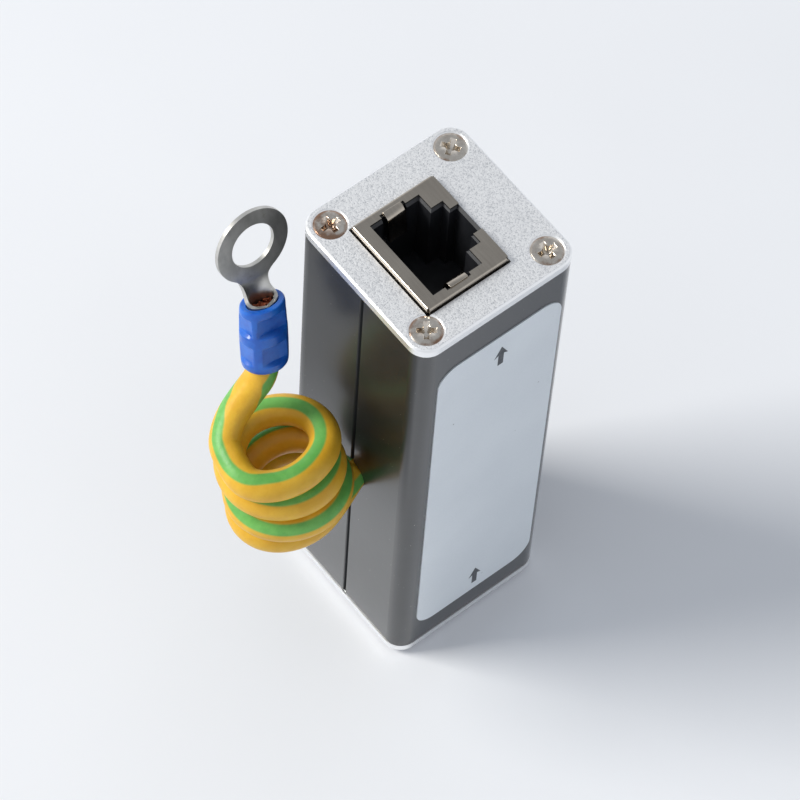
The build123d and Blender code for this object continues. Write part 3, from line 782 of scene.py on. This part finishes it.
jacket_mesh = bmesh.new()
facing = jacket_mesh.verts.layers.float_vector.new("jacket")
place = lead_frame(0)
ring = bmesh.ops.create_circle(
    jacket_mesh, segments=ring_sides, radius=lead_diameter / 2, matrix=place
)["verts"]
jacket_mesh.faces.new(ring)
run = 0.0
for index in range(len(lead_path)):
    if index:
        previous = place
        place = lead_frame(index)
        run += (lead_path[index] - lead_path[index - 1]).length
        touching = dict.fromkeys(edge for vertex in ring for edge in vertex.link_edges)
        edges = [edge for edge in touching if all(vertex in ring for vertex in edge.verts)]
        grown = bmesh.ops.extrude_edge_only(jacket_mesh, edges=edges)["geom"]
        ring = [item for item in grown if isinstance(item, bmesh.types.BMVert)]
        bmesh.ops.transform(jacket_mesh, matrix=place @ previous.inverted(), verts=ring)
    inverse = (place @ Matrix.Rotation(stripe_turn(run / MM), 4, "Z")).inverted()
    for vertex in ring:
        local = inverse @ vertex.co
        vertex[facing] = (local.x / (lead_diameter / 2), local.y / (lead_diameter / 2), run / MM)
bmesh.ops.contextual_create(jacket_mesh, geom=ring)
bmesh.ops.recalc_face_normals(jacket_mesh, faces=jacket_mesh.faces)
jacket_finish, here = new_finish("lead_jacket", Specular_IOR_Level=0.45, Subsurface_Weight=0.12)
jacket_shader = jacket_finish.node_tree.nodes["Principled BSDF"]
jacket_shader.inputs["Subsurface Radius"].default_value = (1.2, 0.7, 0.1)
jacket_shader.inputs["Subsurface Scale"].default_value = 0.6 * MM
stripe_half_angle = 23.0
stripe_blur = 5.0
attribute = here.node("ShaderNodeAttribute", {"attribute_name": "jacket"})
from_stripe, beside_stripe, _ = Value(attribute.outputs["Vector"]).parts()
off_stripe = here.math("ARCTAN2", abs(beside_stripe), abs(from_stripe)) * (180 / pi)
stripe = off_stripe.rise(stripe_half_angle + stripe_blur, stripe_half_angle - stripe_blur)
mottle = here.noise(0.35, 4.0, 0.6)
grime = here.noise(1.4, 4.0, 0.7).rise(0.60, 0.80)
shade = mottle.rise(0.35, 0.68)
yellow = shade.tint((0.76, 0.42, 0.025), (0.84, 0.50, 0.04))
yellow = (grime * 0.35).tint(yellow, (0.50, 0.27, 0.03))
green = shade.tint((0.13, 0.43, 0.085), (0.19, 0.53, 0.115))
drive(
    jacket_finish,
    Base_Color=stripe.tint(yellow, green),
    Roughness=0.34 + mottle * 0.14,
    Normal=here.noise(1.6, 3.0).bump(0.035),
)
ground_lead = new_piece("ground_lead", jacket_mesh, jacket_finish)
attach(ground_lead, "root")
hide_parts("ground_lead_exit", "ground_lead_coil", "ground_lead_tail")

# Ground lead inside the housing: the same jacketed wire, from the side hole to the board, where
# its end is stripped.
inner_finish, here = new_finish("inner_jacket", Specular_IOR_Level=0.45)
x, y, z = here.millimetres()
inner_y, inner_z = 0.6, 37.1
around = here.math("ARCTAN2", y - inner_y, z - inner_z) * (180 / pi)
inner_stripe = abs(around).rise(stripe_half_angle + 3, stripe_half_angle - 3)
inner_shade = here.noise(0.35, 4.0, 0.6)
inner_yellow = inner_shade.rise(0.35, 0.68).tint((0.76, 0.42, 0.025), (0.84, 0.50, 0.04))
drive(
    inner_finish,
    Base_Color=inner_stripe.tint(inner_yellow, (0.15, 0.50, 0.14)),
    Roughness=0.34 + inner_shade * 0.14,
    Normal=here.noise(1.6, 3.0).bump(0.035),
)
dress(inner_finish, "inner_ground_lead")

# Sleeve of the terminal: a blue nylon tube, pressed flat on four sides in two places by the
# crimping tool. It belongs to the terminal, and its lower end flares over the jacket.
terminal_face = Vector((0, -0.96, 0.28))
terminal_x = terminal_axis.cross(terminal_face).normalized()
terminal_y = terminal_axis.cross(terminal_x)
terminal_place = Matrix((terminal_x, terminal_y, terminal_axis)).transposed().to_4x4()
terminal_place.translation = sleeve_mouth
terminal_place = terminal_place @ Matrix.Scale(MM, 4)
sleeve_length = 10.0
sleeve_wide = 3.15
sleeve_flat = 2.85
sleeve_bore = 2.27
barrel_bore = 2.03
mouth_rim = 2.12
jacket_end = 3.05
mouth_wide = 2.25
mouth_flat = 1.45
crimps = [(1.2, 4.5, 2.75, 2.27), (5.9, 9.0, 2.70, 1.85)]
crimp_edge = 0.35
sleeve_steps = 144
sleeve_profile = [
    # radius and height: up the bore, over the foot, along the outside, and into the barrel's mouth
    (sleeve_bore, 3.0), (sleeve_bore, 0.25), (2.50, 0.04), (2.75, 0.0), (2.98, 0.06), (3.10, 0.25),
    (sleeve_wide, 0.6),
]
sleeve_profile += [(sleeve_wide, 1.0 + 0.15 * step) for step in range(57)]
sleeve_profile += [
    (3.13, 9.75), (3.04, 9.93), (2.90, 10.0), (2.45, 10.0), (mouth_rim, 9.97), (barrel_bore, 9.85),
    (barrel_bore, 3.1),
]


def pressed(radius, angle, height):
    """The outside after crimping: an oval, cut back to the die's flats where it was pressed."""
    share = height / sleeve_length
    wide = sleeve_wide + 0.15 * sin(pi * share)
    flat_half = sleeve_flat - 0.50 * share * share
    oval = 1 / sqrt((cos(angle) / wide) ** 2 + (sin(angle) / flat_half) ** 2)
    oval *= radius / sleeve_wide
    for low, high, end_flat, side_flat in crimps:
        entry = min(max((height - low) / crimp_edge, 0), 1)
        entry *= min(max((high - height) / crimp_edge, 0), 1)
        if entry > 0:
            cut = min(end_flat / max(abs(cos(angle)), 0.01), side_flat / max(abs(sin(angle)), 0.01))
            cut += (1 - entry) * max(oval - cut, 0)
            oval = min(oval, cut)
    return oval


sleeve_mesh = bmesh.new()
profile_points = [sleeve_mesh.verts.new((radius, 0, height)) for radius, height in sleeve_profile]
profile_edges = [sleeve_mesh.edges.new(pair) for pair in zip(profile_points, profile_points[1:])]
profile_edges.append(sleeve_mesh.edges.new((profile_points[-1], profile_points[0])))
bmesh.ops.spin(
    sleeve_mesh, geom=profile_points + profile_edges, cent=(0, 0, 0), axis=(0, 0, 1),
    angle=2 * pi, steps=sleeve_steps, use_merge=True,
)
bmesh.ops.remove_doubles(sleeve_mesh, verts=sleeve_mesh.verts, dist=0.0001)
for vertex in sleeve_mesh.verts:
    radius = sqrt(vertex.co.x ** 2 + vertex.co.y ** 2)
    if vertex.co.z > jacket_end and radius < mouth_rim + 0.01:
        vertex.co.x *= mouth_wide / barrel_bore
        vertex.co.y *= mouth_flat / barrel_bore
    elif radius > sleeve_bore + 0.1:
        angle = atan2(vertex.co.y, vertex.co.x)
        grown = pressed(radius, angle, vertex.co.z)
        vertex.co.x = grown * cos(angle)
        vertex.co.y = grown * sin(angle)
bmesh.ops.recalc_face_normals(sleeve_mesh, faces=sleeve_mesh.faces)
bmesh.ops.transform(sleeve_mesh, matrix=terminal_place, verts=sleeve_mesh.verts)
sleeve_finish, here = new_finish(
    "blue_nylon", Specular_IOR_Level=0.5, Subsurface_Weight=0.08, Coat_Weight=0.25, Coat_Roughness=0.12
)
sleeve_shader = sleeve_finish.node_tree.nodes["Principled BSDF"]
sleeve_shader.inputs["Subsurface Radius"].default_value = (0.05, 0.2, 1.0)
sleeve_shader.inputs["Subsurface Scale"].default_value = 0.4 * MM
cloudy = here.noise(0.45, 4.0, 0.6)
scuff = here.noise(1.2, 4.0, 0.7, stretch=(1, 1, 0.5)).rise(0.60, 0.78)
nylon_blue = cloudy.rise(0.3, 0.7).tint((0.004, 0.095, 0.50), (0.010, 0.155, 0.64))
drive(
    sleeve_finish,
    Base_Color=(scuff * 0.2).tint(nylon_blue, (0.08, 0.29, 0.78)),
    Roughness=0.26 + cloudy * 0.12 + scuff * 0.12,
    Normal=(cloudy + here.noise(2.5, 2.0) * 0.25).bump(0.03),
)
blue_sleeve = new_piece("blue_sleeve", sleeve_mesh, sleeve_finish, sharp=radians(24))
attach(blue_sleeve, "root")
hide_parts("terminal_sleeve")

# Ring terminal: one stamping of tinned copper sheet. Its lower part is rolled into the barrel that
# holds the strands, the neck is scooped from the barrel's rear wall and flares into the flat ring.
barrel_middle = 1.775
barrel_low = 3.2
barrel_top = 9.95
ring_centre = 18.2
ring_outer = 5.4
ring_hole = 3.2
neck_half = 1.88
flare_radius = 2.6
scoop_fall = 0.42
unrolled_by = 13.0
neck_columns = 40
ring_columns = 84
ring_rows = 8
plate_line = 1.7
barrel_widened = 1.10
barrel_flattened = 0.66
thin_wall = 0.45
thick_wall = 0.6
flare_x = neck_half + flare_radius
flare_start = ring_centre - sqrt((ring_outer + flare_radius) ** 2 - flare_x ** 2)
joint_x = flare_x * ring_outer / (ring_outer + flare_radius)
joint_drop = (ring_centre - flare_start) * ring_outer / (ring_outer + flare_radius)
joint_z = ring_centre - joint_drop


def half_width(height):
    """Half the width of the flat sheet at this height, before it is rolled."""
    rolled = pi * barrel_middle - 0.03
    if height <= barrel_top:
        return rolled
    width = neck_half + (rolled - neck_half) * exp(-(height - barrel_top) / scoop_fall)
    if height > flare_start:
        width += flare_radius - sqrt(flare_radius ** 2 - (height - flare_start) ** 2)
    return width


def unrolled(height):
    """0 along the barrel, 1 where the sheet is flat again, and in between along the neck."""
    return min(max((height - barrel_top) / (unrolled_by - barrel_top), 0), 1)


def rolled_place(across, height):
    """Where a point of the flat sheet comes to lie once the barrel is rolled."""
    share = unrolled(height)
    curl = 1 - share * share * (3 - 2 * share)
    barrel_rear = barrel_middle * barrel_flattened
    rear = plate_line + (barrel_rear - plate_line) * curl
    if curl < 0.001:
        return Vector((across, rear, height))
    bend = barrel_middle / curl
    angle = across / bend
    widened = 1 + (barrel_widened - 1) * curl
    flattened = 1 + (barrel_flattened - 1) * curl
    return Vector((widened * bend * sin(angle), rear - flattened * bend * (1 - cos(angle)), height))


terminal_mesh = bmesh.new()
barrel_rows = 64
strip = bmesh.ops.create_grid(
    terminal_mesh, x_segments=neck_columns, y_segments=barrel_rows, size=1
)["verts"]
for vertex in strip:
    height = barrel_low + (joint_z - barrel_low) * (vertex.co.y + 1) / 2
    width = half_width(height)
    if abs(height - joint_z) < 0.0001:
        width = joint_x
    vertex.co = rolled_place(vertex.co.x * width, height)
ring_grid = bmesh.ops.create_grid(
    terminal_mesh, x_segments=neck_columns + ring_columns, y_segments=ring_rows, size=1
)["verts"]
joint_angle = atan(joint_x / joint_drop)
for vertex in ring_grid:
    column = round((vertex.co.x + 1) / 2 * (neck_columns + ring_columns))
    row = (vertex.co.y + 1) / 2
    if column <= neck_columns:
        offset = joint_x * (2 * column / neck_columns - 1)
        angle = atan(offset / joint_drop)
        reach = joint_drop / cos(angle)
    else:
        angle = joint_angle + (2 * pi - 2 * joint_angle) * (column - neck_columns) / ring_columns
        reach = ring_outer
    radius = ring_hole + (reach - ring_hole) * row
    vertex.co = Vector((radius * sin(angle), plate_line, ring_centre - radius * cos(angle)))
bmesh.ops.remove_doubles(terminal_mesh, verts=terminal_mesh.verts, dist=0.0005)
bmesh.ops.recalc_face_normals(terminal_mesh, faces=terminal_mesh.faces)
terminal_mesh.normal_update()
sheet_normals = {vertex: vertex.normal.copy() for vertex in terminal_mesh.verts}
sheet_places = {vertex: vertex.co.copy() for vertex in terminal_mesh.verts}
original = list(terminal_mesh.verts)
doubled = bmesh.ops.extrude_face_region(terminal_mesh, geom=list(terminal_mesh.faces))["geom"]
doubled = [item for item in doubled if isinstance(item, bmesh.types.BMVert)]
lookup = {tuple(round(value, 5) for value in sheet_places[vertex]): vertex for vertex in original}


def wall_at(height):
    """The sheet is thinner where it was drawn to roll the barrel."""
    return thin_wall + (thick_wall - thin_wall) * unrolled(height)


for vertex in doubled:
    twin = lookup[tuple(round(value, 5) for value in vertex.co)]
    vertex.co += sheet_normals[twin] * wall_at(vertex.co.z) / 2
for vertex in original:
    vertex.co -= sheet_normals[vertex] * wall_at(sheet_places[vertex].z) / 2
bmesh.ops.recalc_face_normals(terminal_mesh, faces=terminal_mesh.faces)
bmesh.ops.transform(terminal_mesh, matrix=terminal_place, verts=terminal_mesh.verts)
terminal_finish, here = new_finish("tinned_copper", Metallic=1.0)
rolled_grain = here.noise(1.0, 4.0, 0.6, stretch=(1, 1, 0.25))
stain = here.noise(0.28, 4.0, 0.6)
tin = (rolled_grain * 0.4 + stain * 0.6).rise(0.32, 0.68).tint((0.46, 0.455, 0.43), (0.64, 0.63, 0.60))
drive(
    terminal_finish,
    Base_Color=stain.rise(0.62, 0.78).tint(tin, (0.36, 0.34, 0.29)),
    Roughness=0.26 + stain * 0.16,
    Normal=(rolled_grain * 0.6 + stain).bump(0.02),
)
ring_and_barrel = new_piece("ring_and_barrel", terminal_mesh, terminal_finish)
round_edges(ring_and_barrel, 0.07 * MM).harden_normals = True
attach(ring_and_barrel, "root")
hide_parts("ring_terminal")

# Strands: the lead's bare copper wires, packed in the barrel. The crimp presses them together, and
# their cut ends stand at slightly different heights just below its mouth.
strand_radius = 0.16
strand_pitch = 0.33
bundle_wide = 1.62
bundle_flat = 0.86
strand_low = 3.2
strand_high = 9.5
uneven = 0.22
most_lean = 0.012
spread = random.Random(11)
strand_mesh = bmesh.new()
for row in range(-4, 5):
    for column in range(-5, 6):
        x = strand_pitch * (column + (row % 2) / 2)
        y = strand_pitch * row * sqrt(3) / 2
        if (x / bundle_wide) ** 2 + (y / bundle_flat) ** 2 > 1:
            continue
        top = strand_high + spread.uniform(-uneven, uneven)
        wire = bmesh.ops.create_cone(
            strand_mesh, cap_ends=True, segments=10, radius1=strand_radius, radius2=strand_radius,
            depth=top - strand_low,
        )["verts"]
        lean = Matrix.Rotation(spread.uniform(-most_lean, most_lean), 4, "X")
        lean = lean @ Matrix.Rotation(spread.uniform(-most_lean, most_lean), 4, "Y")
        middle = Matrix.Translation((x, y, (top + strand_low) / 2))
        bmesh.ops.transform(strand_mesh, verts=wire, matrix=middle @ lean)
bmesh.ops.transform(strand_mesh, matrix=terminal_place, verts=strand_mesh.verts)
strand_finish, here = new_finish("bare_strands", Metallic=0.85)
oxide = here.noise(2.2, 3.0, 0.6)
drive(
    strand_finish,
    Base_Color=oxide.rise(0.3, 0.7).tint((0.20, 0.05, 0.025), (0.62, 0.19, 0.09)),
    Roughness=0.30 + oxide * 0.2,
    Normal=oxide.bump(0.02),
)
copper_strands = new_piece("copper_strands", strand_mesh, strand_finish, sharp=radians(40))
round_edges(copper_strands, 0.05 * MM)
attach(copper_strands, "root")
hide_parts("lead_strands")
